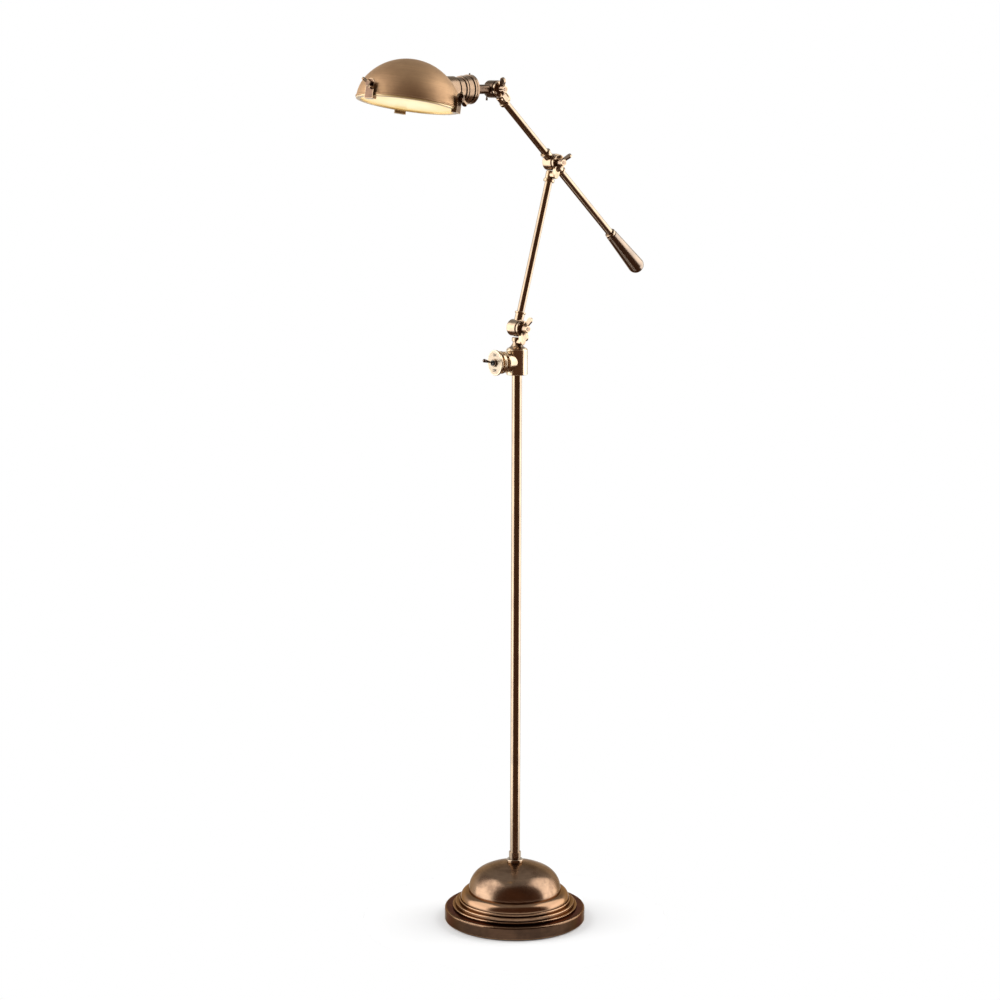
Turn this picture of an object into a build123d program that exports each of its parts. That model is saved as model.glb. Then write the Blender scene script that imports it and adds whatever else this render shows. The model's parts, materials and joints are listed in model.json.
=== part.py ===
from build123d import *
import math
import os

os.makedirs("parts", exist_ok=True)

# Floor lamp in millimetres and degrees: floor at Z 0, pole on Z, shade towards -X, wing nuts towards -Y

# Stance: joint places and the angles of the pose in the photograph
lower_joint_height = 1020.0
lower_arm_length = 280.9
lower_arm_lean = 15.8
upper_arm_reach = 175.4
upper_arm_lean = 46.6
counter_reach = 275.0
shade_tilt = 11.5
shade_roll = -1.8
switch_turn = 7.0

# Clearances shared by mating pieces
fit_gap = 0.05
face_gap = 0.1
loose_gap = 0.3
cut_overrun = 5.0

# Base
felt_thickness = 2.0
felt_inset = 4.0
foot_radius = 120.0
foot_height = 24.0
foot_edge_round = 3.5
foot_wall = 2.2
low_step_radius = 106.5
low_step_rise = 4.0
mid_step_radius = 101.5
mid_step_rise = 5.8
top_step_radius = 95.0
top_step_rise = 4.6
step_round = 1.3
bead_radius = 92.5
bead_rise = 14.6
bead_round = 12.5
dome_radius = 79.0
dome_height = 49.0
dome_shoulder = 40.0
dome_wall = 2.0
dome_lip_depth = 3.0
dome_lip_wall = 1.6
dome_seat_depth = 0.8
weight_gap = 1.0
weight_top_gap = 3.0
recess_radius = 24.0
recess_height = 16.0
nut_across_flats = 27.0
nut_height = 9.0
nut_stickout = 1.0
washer_radius = 20.0
washer_thickness = 2.0

# Cord gland at the back of the base
gland_radius = 5.0
gland_flange_radius = 7.0
gland_flange_thickness = 2.5
gland_depth = 6.0
gland_bore = 3.4
channel_width = 13.0

# Pole and its foot collar
pole_radius = 8.5
pole_wall = 1.5
collar_ring_radius = 14.0
collar_ring_height = 6.5
collar_groove_radius = 9.6
collar_groove_height = 2.4
collar_sleeve_radius = 10.4
collar_sleeve_height = 10.0
collar_round = 1.0

# Switch body: a hub on the pole with a ringed barrel
hub_radius = 18.0
hub_height = 42.7
hub_top_gap = 35.0
hub_round = 1.0
pole_socket_depth = 14.0
pole_stop_height = 2.0
pole_stop_radius = 6.5
chamber_radius = 11.0
hub_top_wall = 6.0
barrel_rise = 22.1
barrel_reach = 44.2
barrel_root = 8.0
barrel_root_radius = 15.5
barrel_cone_radius = 16.8
barrel_cone_end = 22.0
inner_fin_radius = 17.8
inner_fin_width = 3.6
inner_groove_width = 5.2
outer_fin_radius = 19.0
outer_fin_width = 5.2
outer_groove_width = 4.8
groove_radius = 14.6
face_flange_radius = 21.3
fin_round = 0.7
switch_bore = 12.5
switch_bore_depth = 26.0
wire_hole_radius = 4.0

# Switch parts
plate_radius = 19.3
plate_thickness = 1.2
case_width = 16.5
case_depth = 20.0
bush_radius = 4.5
bush_length = 6.5
bush_bore = 3.2
bush_bore_depth = 7.0
switch_nut_radius = 6.7
switch_nut_height = 2.8
lever_ball_radius = 2.9
lever_neck_radius = 1.3
lever_neck_length = 6.5
lever_tip_radius = 3.1
lever_length = 22.0
lever_throw = 15.0
lever_pivot_out = 1.8
tip_round_share = 0.96

# Knuckles: a cheek on the parent, an eye on the child, a bolt and a wing nut
eye_radius = 14.2
eye_back = 11.5
eye_front = 10.0
eye_round = 1.4
cheek_radius = 13.2
cheek_thickness = 5.0
cheek_round = 1.2
tongue_width = 11.0
elbow_drop = 22.0
elbow_radius = 5.8
stem_head_gap = 1.2
stem_head_round = 2.0
stem_radius = 7.8
stem_length = 12.0
stem_bead_radius = 9.3
stem_bead_width = 3.5
stem_bead_round = 1.2
cheek_bead_width = 5.5
eye_stem_reach = 27.2
tee_stem_reach = 24.5
tee_stem_radius = 7.6
tube_seat_depth = 8.0
friction_washer_radius = 12.4
friction_washer_thickness = 0.8
bolt_radius = 3.0
bolt_head_radius = 6.5
bolt_head_height = 3.6
bolt_head_round = 1.6
bolt_stickout = 0.8

# Wing nuts
wing_hub_foot_radius = 6.4
wing_hub_tip_radius = 5.2
wing_hub_height = 12.0
wing_reach = 20.0
wing_tip_round = 5.2
wing_root_round = 4.0
wing_rise = 16.5
wing_thickness = 3.2
hub_foot_share = 0.25
lower_wing_turn = 73.0
mid_wing_turn = 43.0
top_wing_turn = 107.0

# Neck between the switch body and the lower arm
neck_flange_radius = 16.5
neck_flange_height = 1.3
neck_stem_radius = 7.4
neck_flare_radius = 10.3
neck_flare_rise = 5.4
neck_flare_height = 10.5
neck_knob_radius = 8.8
neck_knob_height = 7.0
neck_knob_round = 1.2
spigot_radius = 5.0
spigot_length = 13.0
swivel_nut_radius = 8.0
swivel_nut_height = 4.0

# Arm tubes and the counterweight grip
arm_tube_radius = 6.25
arm_tube_wall = 1.25
grip_length = 92.0
grip_root_radius = 9.7
grip_end_radius = 14.0
grip_bore_depth = 30.0
grip_collar_radius = 9.2
grip_collar_height = 6.0
grip_collar_round = 1.6

# Head: stub, socket cup and lamp
head_stem_reach = 49.5
head_stem_radius = 7.6
head_nut_radius = 10.5
head_nut_height = 5.0
head_nut_round = 1.4
nipple_radius = 5.0
nipple_length = 8.0
cup_radius = 23.7
cup_length = 48.6
cup_wall = 4.0
cup_bore = 15.5
cup_dome_run = 16.0
# Outline of the cup: shares of its radius and of its length, from the stub end to the shade
cup_outline_shares = (
    (1.0, 0.0),
    (1.0, 0.072),
    (0.965, 0.085),
    (1.0, 0.098),
    (1.0, 0.16),
    (0.855, 0.165),
    (0.855, 0.19),
    (0.94, 0.195),
    (0.94, 0.385),
    (0.865, 0.39),
    (0.865, 0.405),
    (0.905, 0.41),
    (0.905, 0.475),
    (0.805, 0.48),
    (0.805, 0.5),
    (0.83, 0.505),
    (0.83, 0.685),
    (0.735, 0.69),
    (0.735, 0.76),
    (0.905, 0.765),
)
stub_screw_radius = 1.2
stub_screw_head_radius = 1.7
stub_screw_place = 15.6
stub_screw_stickout = 10.3
stub_screw_head_height = 4.0
cup_screw_radius = 1.3
cup_screw_place = 1.9
cup_screw_depth = 3.0
cup_screw_stickout = 2.2
holder_radius = 14.4
holder_length = 42.0
holder_tip_radius = 12.4
holder_tip_length = 11.0
bulb_cap_radius = 6.9
bulb_cap_length = 22.0
bulb_cap_proud = 1.0
bulb_neck_radius = 6.6
bulb_radius = 13.0
bulb_neck_run = 20.0
bulb_length = 54.0
bulb_wall = 0.9

# Shade, lens and clips
shade_reach = 178.0
shade_drop = 21.5
shade_radius = 82.3
shade_height = 70.3
shade_shoulder = 58.0
shade_wall = 1.2
rim_bead_radius = 83.4
rim_bead_height = 3.0
rim_bead_round = 1.0
lens_radius = 79.3
lens_edge = 3.0
lens_crown = 3.5
lens_ring_bore = 75.0
lens_ring_thickness = 2.4
lens_ring_round = 0.8
clip_front_turn = 186.5
clip_near_turn = -60.0
clip_far_turn = 60.0
clip_width = 18.0
clip_thickness = 2.8
clip_hook_reach = 8.8
clip_hook_thickness = 5.0
clip_screw_rise = 15.0
clip_boss_radius = 4.6
clip_screw_radius = 2.0
clip_screw_depth = 5.0
clip_head_radius = 5.0
clip_head_height = 6.0
clip_wing_reach = 15.0
clip_wing_tip_round = 4.0
clip_wing_root_round = 2.6
clip_wing_rise = 9.0
clip_wing_thickness = 3.0
clip_wing_turn = 55.0

# Heights and places that follow from the sizes above
clip_turns = {
    "front": Rot(0, 0, clip_front_turn),
    "near": Rot(0, 0, clip_near_turn),
    "far": Rot(0, 0, clip_far_turn),
}
weight_floor = felt_thickness
low_step_height = foot_height + low_step_rise
mid_step_height = low_step_height + mid_step_rise
top_step_height = mid_step_height + top_step_rise
dome_foot_height = top_step_height + bead_rise
dome_seat_radius = dome_radius - 2 * dome_wall
recess_top = weight_floor + recess_height
collar_seat_height = dome_foot_height + dome_height - dome_seat_depth
hub_top = lower_joint_height - hub_top_gap
hub_base = hub_top - hub_height
pole_top = hub_base + pole_socket_depth
pole_foot = recess_top - washer_thickness - nut_height - nut_stickout
gland_height = (felt_thickness + foot_height) / 2
cheek_back = -(eye_front + face_gap + friction_washer_thickness)
cheek_front = cheek_back - cheek_thickness
wing_nut_seat = cheek_front - face_gap
bolt_tip = wing_nut_seat - wing_hub_height - bolt_stickout
cheek_stem_reach = elbow_drop + stem_length
cheek_seat_floor = cheek_stem_reach - tube_seat_depth
stem_head = eye_radius + stem_head_gap

lower_lean = math.radians(lower_arm_lean)
upper_lean = math.radians(upper_arm_lean)
mid_joint_x = lower_arm_length * math.sin(lower_lean)
mid_joint_height = lower_joint_height + lower_arm_length * math.cos(lower_lean)
top_joint_x = mid_joint_x - upper_arm_reach * math.sin(upper_lean)
top_joint_height = mid_joint_height + upper_arm_reach * math.cos(upper_lean)

# Frames: each has its joint at the origin and its arm or barrel along +Z
lower_frame = Pos(0, 0, lower_joint_height)
lower_arm_frame = lower_frame * Rot(0, lower_arm_lean, 0)
mid_frame = Pos(mid_joint_x, 0, mid_joint_height)
upper_arm_frame = mid_frame * Rot(0, -upper_arm_lean, 0)
top_frame = Pos(top_joint_x, 0, top_joint_height)
head_frame = top_frame * Rot(0, -90, 0)
rolled_frame = top_frame * Rot(shade_roll, 0, 0)
shade_frame = rolled_frame * Pos(-shade_reach, 0, -shade_drop) * Rot(0, shade_tilt, 0)
switch_frame = Pos(0, 0, hub_base + barrel_rise) * Rot(0, 0, -switch_turn) * Rot(0, -90, 0)
along_y = Rot(-90, 0, 0)
towards_front = Rot(90, 0, 0)


def turned(outline, rounds=None):
    """Solid turned about Z from (radius, height) corners, with a rounding at each corner if given."""
    corners = [(radius, 0, height) for radius, height in outline]
    if rounds is None:
        edge = Polyline(*corners, close=True)
    else:
        edge = FilletPolyline(*corners, radius=rounds, close=True)
    return revolve(make_face(edge.edges()), Axis.Z)


def post(radius, low, high):
    """Round bar along Z between two heights."""
    return Pos(0, 0, low) * Cylinder(radius, high - low, align=(Align.CENTER, Align.CENTER, Align.MIN))


def ring(outer, inner, low, high):
    """Plain ring about Z between two heights."""
    return post(outer, low, high) - post(inner, low - cut_overrun, high + cut_overrun)


def round_disc(radius, low, high, corner):
    """Disc about Z with both rims rounded."""
    outline = [(0, low), (radius, low), (radius, high), (0, high)]
    return turned(outline, [0, corner, corner, 0])


def dome_solid(radius, height, shoulder):
    """Solid dome standing on Z 0: a round shoulder that runs smoothly into a flatter crown."""
    run = radius - shoulder
    rise = height - shoulder
    crown_angle = 2 * math.atan2(rise, run)
    crown = shoulder + run / math.sin(crown_angle)
    shoulder_half = (math.pi / 2 - crown_angle) / 2
    foot = Vector(radius, 0, 0)
    shoulder_mid = Vector(run + shoulder * math.cos(shoulder_half), 0, shoulder * math.sin(shoulder_half))
    join = Vector(run + shoulder * math.sin(crown_angle), 0, shoulder * math.cos(crown_angle))
    crown_base = height - crown
    crown_mid = Vector(crown * math.sin(crown_angle / 2), 0, crown_base + crown * math.cos(crown_angle / 2))
    top = Vector(0, 0, height)
    centre = Vector(0, 0, 0)
    edges = [
        Line(centre, foot).edge(),
        ThreePointArc(foot, shoulder_mid, join).edge(),
        ThreePointArc(join, crown_mid, top).edge(),
        Line(top, centre).edge(),
    ]
    return revolve(make_face(edges), Axis.Z)


# Base


def felt_pad():
    """Felt disc that the lamp stands on."""
    return post(foot_radius - felt_inset, 0, felt_thickness)


def base_foot():
    """Stepped plinth: a shell with a thick disc, three steps and a round bead below the dome."""
    outer = [
        (foot_radius, felt_thickness, step_round),
        (foot_radius, foot_height, foot_edge_round),
        (low_step_radius, foot_height, 0),
        (low_step_radius, low_step_height, step_round),
        (mid_step_radius, low_step_height, 0),
        (mid_step_radius, mid_step_height, step_round),
        (top_step_radius, mid_step_height, 0),
        (top_step_radius, top_step_height, step_round),
        (bead_radius, top_step_height, 0),
        (bead_radius, dome_foot_height, bead_round),
        (dome_seat_radius, dome_foot_height, 0),
    ]
    inner = [
        (dome_seat_radius, dome_foot_height - foot_wall, 0),
        (bead_radius - foot_wall, dome_foot_height - foot_wall, bead_round - foot_wall),
        (bead_radius - foot_wall, mid_step_height - foot_wall, 0),
        (mid_step_radius - foot_wall, mid_step_height - foot_wall, 0),
        (mid_step_radius - foot_wall, foot_height - foot_wall, 0),
        (foot_radius - foot_wall, foot_height - foot_wall, 0),
        (foot_radius - foot_wall, felt_thickness, 0),
    ]
    corners = outer + inner
    shell = turned([(r, z) for r, z, _ in corners], [bend for _, _, bend in corners])
    hole = Pos(foot_radius, 0, gland_height) * Rot(0, 90, 0) * Cylinder(gland_radius + fit_gap, 2 * gland_depth)
    return shell - hole


def iron_weight():
    """Cast weight inside the plinth, with a bore for the pole, a nut recess and a channel for the cord."""
    rim = foot_radius - foot_wall - weight_gap
    waist = bead_radius - foot_wall - weight_gap
    crown = dome_seat_radius - dome_lip_wall - 2 * weight_gap
    outline = [
        (pole_radius + fit_gap, recess_top),
        (recess_radius, recess_top),
        (recess_radius, weight_floor),
        (rim, weight_floor),
        (rim, foot_height - foot_wall),
        (waist, foot_height - foot_wall),
        (waist, mid_step_height - foot_wall),
        (crown, mid_step_height - foot_wall),
        (crown, dome_foot_height - weight_top_gap),
        (pole_radius + fit_gap, dome_foot_height - weight_top_gap),
    ]
    channel_reach = rim + cut_overrun
    channel_top = foot_height - foot_wall - weight_gap
    channel = Box(channel_reach, channel_width, channel_top, align=(Align.MIN, Align.CENTER, Align.MAX))
    return turned(outline) - Pos(0, 0, channel_top) * channel


def base_dome():
    """Dome over the weight, with a lip that centres it in the plinth and a flat seat for the collar."""
    shell = dome_solid(dome_radius, dome_height, dome_shoulder)
    shell -= dome_solid(dome_radius - dome_wall, dome_height - dome_wall, dome_shoulder - dome_wall)
    lip_outer = dome_seat_radius - face_gap
    lip_inner = lip_outer - dome_lip_wall
    flange = ring(dome_radius - dome_wall / 2, lip_inner, 0, dome_wall)
    lip = ring(lip_outer, lip_inner, -dome_lip_depth, dome_wall)
    seat = post(collar_ring_radius + face_gap, dome_height - dome_seat_depth, dome_height + cut_overrun)
    bore = post(pole_radius + fit_gap, 0, dome_height + cut_overrun)
    return Pos(0, 0, dome_foot_height) * (shell + flange + lip - seat - bore)


def pole_collar():
    """Turned collar where the pole leaves the dome."""
    ring_top = collar_seat_height + collar_ring_height
    groove_top = ring_top + collar_groove_height
    sleeve_top = groove_top + collar_sleeve_height
    bore = pole_radius + fit_gap
    outline = [
        (bore, collar_seat_height),
        (collar_ring_radius, collar_seat_height),
        (collar_ring_radius, ring_top),
        (collar_groove_radius, ring_top),
        (collar_groove_radius, groove_top),
        (collar_sleeve_radius, groove_top),
        (collar_sleeve_radius, sleeve_top),
        (bore, sleeve_top),
    ]
    return turned(outline, [0, collar_round, 2 * collar_round, 0, 0, collar_round / 2, collar_round / 2, 0])


def pole():
    """Straight tube from the base nut to the switch body."""
    return ring(pole_radius, pole_radius - pole_wall, pole_foot, pole_top)


def base_washer():
    """Wide washer between the weight and the base nut."""
    return ring(washer_radius, pole_radius + fit_gap, recess_top - washer_thickness, recess_top)


def base_nut():
    """Hexagon nut that pulls the pole, dome and weight together."""
    top = recess_top - washer_thickness
    hexagon = RegularPolygon(nut_across_flats / 2, 6, major_radius=False)
    body = Pos(0, 0, top - nut_height) * extrude(hexagon, amount=nut_height)
    return body - post(pole_radius + fit_gap, top - nut_height - cut_overrun, top + cut_overrun)


def cord_gland():
    """Bushed hole at the back of the plinth for the mains cord."""
    outline = [
        (gland_bore, -gland_depth),
        (gland_radius, -gland_depth),
        (gland_radius, 0),
        (gland_flange_radius, 0),
        (gland_flange_radius, gland_flange_thickness),
        (gland_bore, gland_flange_thickness),
    ]
    bush = turned(outline, [0, 0, 0, 0, gland_flange_thickness / 2, 0])
    return Pos(foot_radius, 0, gland_height) * Rot(0, 90, 0) * bush


# Switch


def barrel_outline():
    """Corners and roundings of the ringed barrel, as (radius, distance from the pole, rounding)."""
    inner_fin_end = barrel_cone_end + inner_fin_width
    outer_fin_start = inner_fin_end + inner_groove_width
    outer_fin_end = outer_fin_start + outer_fin_width
    flange_start = outer_fin_end + outer_groove_width
    return [
        (0, barrel_root, 0),
        (barrel_root_radius, barrel_root, 0),
        (barrel_cone_radius, barrel_cone_end, 0),
        (inner_fin_radius, barrel_cone_end, fin_round),
        (inner_fin_radius, inner_fin_end, fin_round),
        (groove_radius, inner_fin_end, fin_round),
        (groove_radius, outer_fin_start, fin_round),
        (outer_fin_radius, outer_fin_start, fin_round),
        (outer_fin_radius, outer_fin_end, fin_round),
        (groove_radius, outer_fin_end, fin_round),
        (groove_radius, flange_start, fin_round),
        (face_flange_radius, flange_start, fin_round),
        (face_flange_radius, barrel_reach, fin_round),
        (0, barrel_reach, 0),
    ]


def switch_body():
    """Hub on the pole with the ringed barrel, hollow for the switch and the wires."""
    hub = round_disc(hub_radius, hub_base, hub_top, hub_round)
    corners = barrel_outline()
    barrel = turned([(r, z) for r, z, _ in corners], [bend for _, _, bend in corners])
    body = hub + switch_frame * barrel
    chamber_floor = pole_top + pole_stop_height
    body -= post(pole_radius + fit_gap, hub_base - cut_overrun, pole_top)
    body -= post(pole_stop_radius, pole_top, chamber_floor)
    body -= post(chamber_radius, chamber_floor, hub_top - hub_top_wall)
    body -= post(spigot_radius + fit_gap, hub_top - hub_top_wall, hub_top + cut_overrun)
    recess_floor = barrel_reach - plate_thickness
    bore_floor = recess_floor - switch_bore_depth
    hollow = post(switch_bore, bore_floor, recess_floor)
    hollow += post(plate_radius + face_gap, recess_floor, barrel_reach + cut_overrun)
    hollow += post(wire_hole_radius, 0, bore_floor)
    return body - switch_frame * hollow


def switch_plate():
    """Face plate set into the end of the barrel."""
    low = barrel_reach - plate_thickness
    return switch_frame * ring(plate_radius, bush_radius + face_gap, low, barrel_reach)


def switch_nut():
    """Ring nut that holds the switch to its plate."""
    top = barrel_reach + switch_nut_height
    outline = [
        (bush_radius + fit_gap, barrel_reach),
        (switch_nut_radius, barrel_reach),
        (switch_nut_radius, top),
        (bush_radius + fit_gap, top),
    ]
    return switch_frame * turned(outline, [0, 0, switch_nut_height / 4, 0])


def switch_case():
    """Toggle switch: its case behind the plate and the bush that comes through."""
    top = barrel_reach - plate_thickness
    case = Pos(0, 0, top - case_depth / 2) * Box(case_width, case_width, case_depth)
    bush = post(bush_radius, top - case_depth / 2, top + bush_length)
    bore = post(bush_bore, top + bush_length - bush_bore_depth, top + bush_length + cut_overrun)
    return switch_frame * (case + bush - bore)


def switch_lever():
    """Bat-shaped toggle lever on its ball, tipped up to the on side."""
    tip_centre = lever_length - lever_tip_radius
    outline = [
        (0, 0),
        (lever_neck_radius, 0),
        (lever_neck_radius, lever_neck_length),
        (lever_tip_radius, tip_centre),
        (lever_tip_radius, lever_length),
        (0, lever_length),
    ]
    bat = turned(outline, [0, 0, 0, 0, lever_tip_radius * tip_round_share, 0])
    pivot = Pos(0, 0, barrel_reach + lever_pivot_out)
    return switch_frame * pivot * Rot(0, lever_throw, 0) * (bat + Sphere(lever_ball_radius))


# Knuckle pieces, each with its joint at the origin and the joint's axis along Y


def eye_barrel():
    """Round eye across the joint, before its bolt hole is bored."""
    return along_y * round_disc(eye_radius, -eye_front, eye_back, eye_round)


def bolt_hole():
    """Space for the bolt through an eye or a cheek."""
    return along_y * post(bolt_radius + fit_gap, cheek_front - cut_overrun, eye_back + cut_overrun)


def stem(radius, root, reach, bead_width=stem_bead_width, root_round=0):
    """Tube socket along Z from a root height to its beaded end."""
    bead_low = reach - bead_width
    outline = [
        (0, root),
        (radius, root),
        (radius, bead_low),
        (stem_bead_radius, bead_low),
        (stem_bead_radius, reach),
        (0, reach),
    ]
    return turned(outline, [0, root_round, 0, stem_bead_round, stem_bead_round, 0])


def tube_seat(reach):
    """Space for the end of a tube in a stem that ends at a given reach."""
    return post(arm_tube_radius + fit_gap, reach - tube_seat_depth, reach + cut_overrun)


def eye_fitting():
    """Eye with one tube socket along +Z."""
    body = eye_barrel() + stem(stem_radius, 0, eye_stem_reach)
    return body - tube_seat(eye_stem_reach) - bolt_hole()


def tee_fitting():
    """Eye with two tube sockets in line along Z."""
    socket = stem(tee_stem_radius, 0, tee_stem_reach)
    seat = tube_seat(tee_stem_reach)
    turn_over = Rot(180, 0, 0)
    body = eye_barrel() + socket + turn_over * socket
    return body - seat - turn_over * seat - bolt_hole()


def cheek_head():
    """Cheek disc, its tongue and the bar that carries it in front of the arm."""
    disc = along_y * round_disc(cheek_radius, cheek_front, cheek_back, cheek_round)
    tongue = Box(tongue_width, cheek_thickness, elbow_drop)
    tongue = Pos(0, (cheek_front + cheek_back) / 2, -elbow_drop / 2) * tongue
    bar = along_y * round_disc(elbow_radius, cheek_front, 0, cheek_round)
    return disc + tongue + Pos(0, 0, -elbow_drop) * bar


def cheek_fitting():
    """Cheek with one tube socket along -Z."""
    turn_over = Rot(180, 0, 0)
    socket = turn_over * stem(stem_radius, stem_head, cheek_stem_reach, cheek_bead_width, stem_head_round)
    seat = turn_over * tube_seat(cheek_stem_reach)
    return cheek_head() + socket - seat - bolt_hole()


def knuckle_bolt():
    """Bolt through eye and cheek, with its domed head at the back."""
    head_low = eye_back + face_gap
    shank = post(bolt_radius, bolt_tip, head_low)
    outline = [
        (0, head_low),
        (bolt_head_radius, head_low),
        (bolt_head_radius, head_low + bolt_head_height),
        (0, head_low + bolt_head_height),
    ]
    return along_y * (shank + turned(outline, [0, 0, bolt_head_round, 0]))


def friction_washer():
    """Fibre washer on the cheek's inner face."""
    front = cheek_back + friction_washer_thickness
    return along_y * ring(friction_washer_radius, bolt_radius + fit_gap, cheek_back, front)


def wing(reach, tip_round, root_round, rise, thickness):
    """One rounded wing in the XZ plane, from the hub out to its reach."""
    root = Pos(root_round, root_round + loose_gap) * Circle(root_round)
    tip = Pos(reach - tip_round, rise - tip_round) * Circle(tip_round)
    outline = make_hull(root.edges() + tip.edges())
    return extrude(Plane.XZ * outline, amount=thickness / 2, both=True)


def wing_nut(turn):
    """Wing nut in front of the cheek, with its wings turned about the bolt."""
    outline = [
        (0, 0),
        (wing_hub_foot_radius, 0),
        (wing_hub_foot_radius, wing_hub_height * hub_foot_share),
        (wing_hub_tip_radius, wing_hub_height),
        (0, wing_hub_height),
    ]
    blade = wing(wing_reach, wing_tip_round, wing_root_round, wing_rise, wing_thickness)
    body = turned(outline) + blade + Rot(0, 0, 180) * blade
    body -= post(bolt_radius + fit_gap, -cut_overrun, wing_rise + cut_overrun)
    return Pos(0, wing_nut_seat, 0) * towards_front * Rot(0, 0, turn) * body


# Neck


def neck_flare():
    """Foot of the neck that flares like a bell towards the hub, standing on Z 0."""
    foot = Vector(neck_flange_radius, 0, 0)
    rim = Vector(neck_flange_radius, 0, neck_flange_height)
    flare_mid = Vector(neck_flare_radius, 0, neck_flare_rise)
    flare_top = Vector(neck_stem_radius, 0, neck_flare_height)
    centre = Vector(0, 0, 0)
    centre_top = Vector(0, 0, neck_flare_height)
    edges = [
        Line(centre, foot).edge(),
        Line(foot, rim).edge(),
        ThreePointArc(rim, flare_mid, flare_top).edge(),
        Line(flare_top, centre_top).edge(),
        Line(centre_top, centre).edge(),
    ]
    return revolve(make_face(edges), Axis.Z)


def neck():
    """Swivelling neck: spigot, flared foot, stem with a knob and cheek."""
    foot = hub_top + face_gap - lower_joint_height
    knob_low = -stem_head - neck_knob_height
    outline = [
        (0, foot),
        (neck_stem_radius, foot),
        (neck_stem_radius, knob_low),
        (neck_knob_radius, knob_low),
        (neck_knob_radius, -stem_head),
        (0, -stem_head),
    ]
    post_and_knob = turned(outline, [0, 0, 0, neck_knob_round, stem_head_round, 0])
    spigot = post(spigot_radius, foot - spigot_length, foot)
    body = cheek_head() + post_and_knob + Pos(0, 0, foot) * neck_flare() + spigot
    return lower_frame * (body - bolt_hole())


def swivel_nut():
    """Nut on the spigot, under the top wall of the hub."""
    top = hub_top - hub_top_wall - face_gap
    return ring(swivel_nut_radius, spigot_radius + fit_gap, top - swivel_nut_height, top)


# Arms


def arm_tube(low, high):
    """Thin tube along Z."""
    return ring(arm_tube_radius, arm_tube_radius - arm_tube_wall, low, high)


def lower_tube():
    """Tube of the lower arm, between its eye and its cheek."""
    low = eye_stem_reach - tube_seat_depth
    high = lower_arm_length - cheek_seat_floor
    return lower_arm_frame * arm_tube(low, high)


def upper_tube():
    """Tube of the upper arm, between the tee and its cheek."""
    low = tee_stem_reach - tube_seat_depth
    high = upper_arm_reach - cheek_seat_floor
    return upper_arm_frame * arm_tube(low, high)


def rear_rod():
    """Tube from the tee back into the counterweight grip."""
    low = -(counter_reach - grip_length + grip_bore_depth)
    high = -(tee_stem_reach - tube_seat_depth)
    return upper_arm_frame * arm_tube(low, high)


def grip_collar():
    """Turned ring where the rod enters the grip."""
    low = -(counter_reach - grip_length)
    top = low + grip_collar_height
    bore = arm_tube_radius + fit_gap
    outline = [(bore, low), (grip_collar_radius, low), (grip_collar_radius, top), (bore, top)]
    return upper_arm_frame * turned(outline, [0, grip_collar_round, grip_collar_round, 0])


def counterweight_grip():
    """Tapered grip with a round end, bored for the rod."""
    start = counter_reach - grip_length
    bore = arm_tube_radius + fit_gap
    floor = start + grip_bore_depth
    outline = [
        (bore, start),
        (grip_root_radius, start),
        (grip_end_radius, counter_reach - grip_end_radius),
        (grip_end_radius, counter_reach),
        (0, counter_reach),
        (0, floor),
        (bore, floor),
    ]
    end_round = grip_end_radius * tip_round_share
    return upper_arm_frame * Rot(180, 0, 0) * turned(outline, [0, fin_round, 0, end_round, 0, 0, 0])


# Head


def head_eye():
    """Eye with the stub that carries the socket cup."""
    nut_low = head_stem_reach - head_nut_height
    nipple_end = head_stem_reach + nipple_length
    body = eye_barrel() + post(head_stem_radius, 0, head_stem_reach)
    body += round_disc(head_nut_radius, nut_low, head_stem_reach, head_nut_round)
    body += post(nipple_radius, nut_low, nipple_end)
    screw_way = post(stub_screw_radius + fit_gap, 0, head_stem_radius + cut_overrun)
    body -= Pos(0, 0, stub_screw_place) * Rot(0, -90, 0) * screw_way
    return head_frame * (body - bolt_hole())


def shade_space():
    """Everything inside the outer face of the shade."""
    return shade_frame * dome_solid(shade_radius, shade_height, shade_shoulder)


def socket_cup():
    """Ringed cup from the stub to the shade, fitted to the shade's curve and bored for the lamp holder."""
    end = head_stem_reach + cup_length + cup_dome_run
    floor = head_stem_reach + cup_wall
    outline = [(nipple_radius + fit_gap, head_stem_reach)]
    outline += [(cup_radius * r, head_stem_reach + cup_length * z) for r, z in cup_outline_shares]
    outline += [
        (cup_radius * cup_outline_shares[-1][0], end),
        (cup_bore, end),
        (cup_bore, floor),
        (nipple_radius + fit_gap, floor),
    ]
    cup = head_frame * turned(outline)
    screw_way = post(cup_screw_radius + fit_gap, cup_radius - cup_screw_depth, cup_radius + cut_overrun)
    cup -= head_frame * Pos(0, 0, head_stem_reach + cup_screw_place) * Rot(0, 90, 0) * screw_way
    return cup - shade_space()


def head_screws():
    """Screw under the stub and the grub screw on top of the cup."""
    shank = post(stub_screw_radius, 0, head_stem_radius + stub_screw_stickout)
    head_low = head_stem_radius + stub_screw_stickout - stub_screw_head_height
    knob = round_disc(stub_screw_head_radius, head_low, head_low + stub_screw_head_height, fin_round)
    stub_screw = head_frame * Pos(0, 0, stub_screw_place) * Rot(0, -90, 0) * (shank + knob)
    grub = post(cup_screw_radius, cup_radius - cup_screw_depth, cup_radius + cup_screw_stickout)
    cup_screw = head_frame * Pos(0, 0, head_stem_reach + cup_screw_place) * Rot(0, 90, 0) * grub
    return Compound(children=[stub_screw, cup_screw])


holder_base = head_stem_reach + nipple_length
holder_shoulder = holder_base + holder_length
holder_end = holder_shoulder + holder_tip_length
bulb_base = holder_end + bulb_cap_proud
cap_floor = bulb_base - bulb_cap_length


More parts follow.
